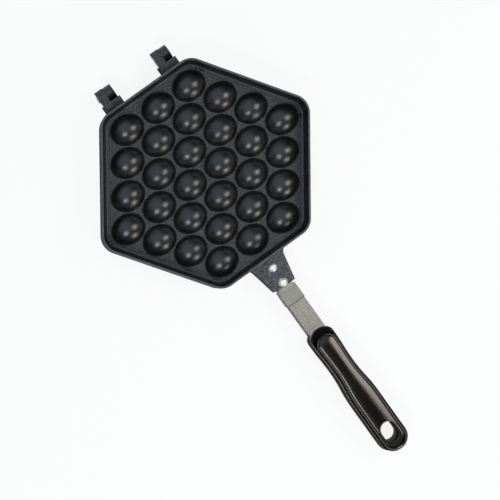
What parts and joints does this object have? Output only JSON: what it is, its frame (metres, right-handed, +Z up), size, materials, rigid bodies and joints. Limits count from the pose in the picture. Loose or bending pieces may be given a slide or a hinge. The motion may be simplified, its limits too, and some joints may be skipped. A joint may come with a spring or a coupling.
{
  "type": "egg waffle pan",
  "caption": "Hinged hexagonal pan of two cast halves with rows of oval bubble cells, riveted steel straps and glossy moulded grips with a hang hole.",
  "frame": {"origin": "on the surface that the closed pan lies on, under the middle of the hexagonal pan", "axes": "+Z up out of the upper half; +Y from the grips towards the hinge; +X along the hinge's axis"},
  "size_m": [0.2096, 0.4, 0.0363],
  "materials": {
    "coated_aluminium": "die-cast aluminium under a charcoal non-stick coating, satin with fine speckle",
    "strap_steel": "brushed stainless strap",
    "black_bakelite": "glossy black moulded phenolic",
    "rivet_metal": "bright polished rivet",
    "pin_steel": "bright turned steel",
    "screw_steel": "plated steel screw"
  },
  "bodies": {
    "lower_half": {"lower_plate": "coated_aluminium", "lower_strap": "strap_steel", "lower_grip": "black_bakelite", "lower_rivet_front": "rivet_metal", "lower_rivet_rear": "rivet_metal", "lower_grip_screw": "screw_steel", "left_hinge_pin": "pin_steel", "right_hinge_pin": "pin_steel"},
    "upper_half": {"upper_plate": "coated_aluminium", "upper_strap": "strap_steel", "upper_grip": "black_bakelite", "upper_rivet_front": "rivet_metal", "upper_rivet_rear": "rivet_metal", "upper_grip_screw": "screw_steel"}
  },
  "joints": [
    {"name": "lid_hinge", "type": "hinge", "parent": "lower_half", "child": "upper_half", "pos_m": [0, 0.10267, 0.01815], "axis": [-1, 0, 0], "range_deg": [0, 180]}
  ]
}
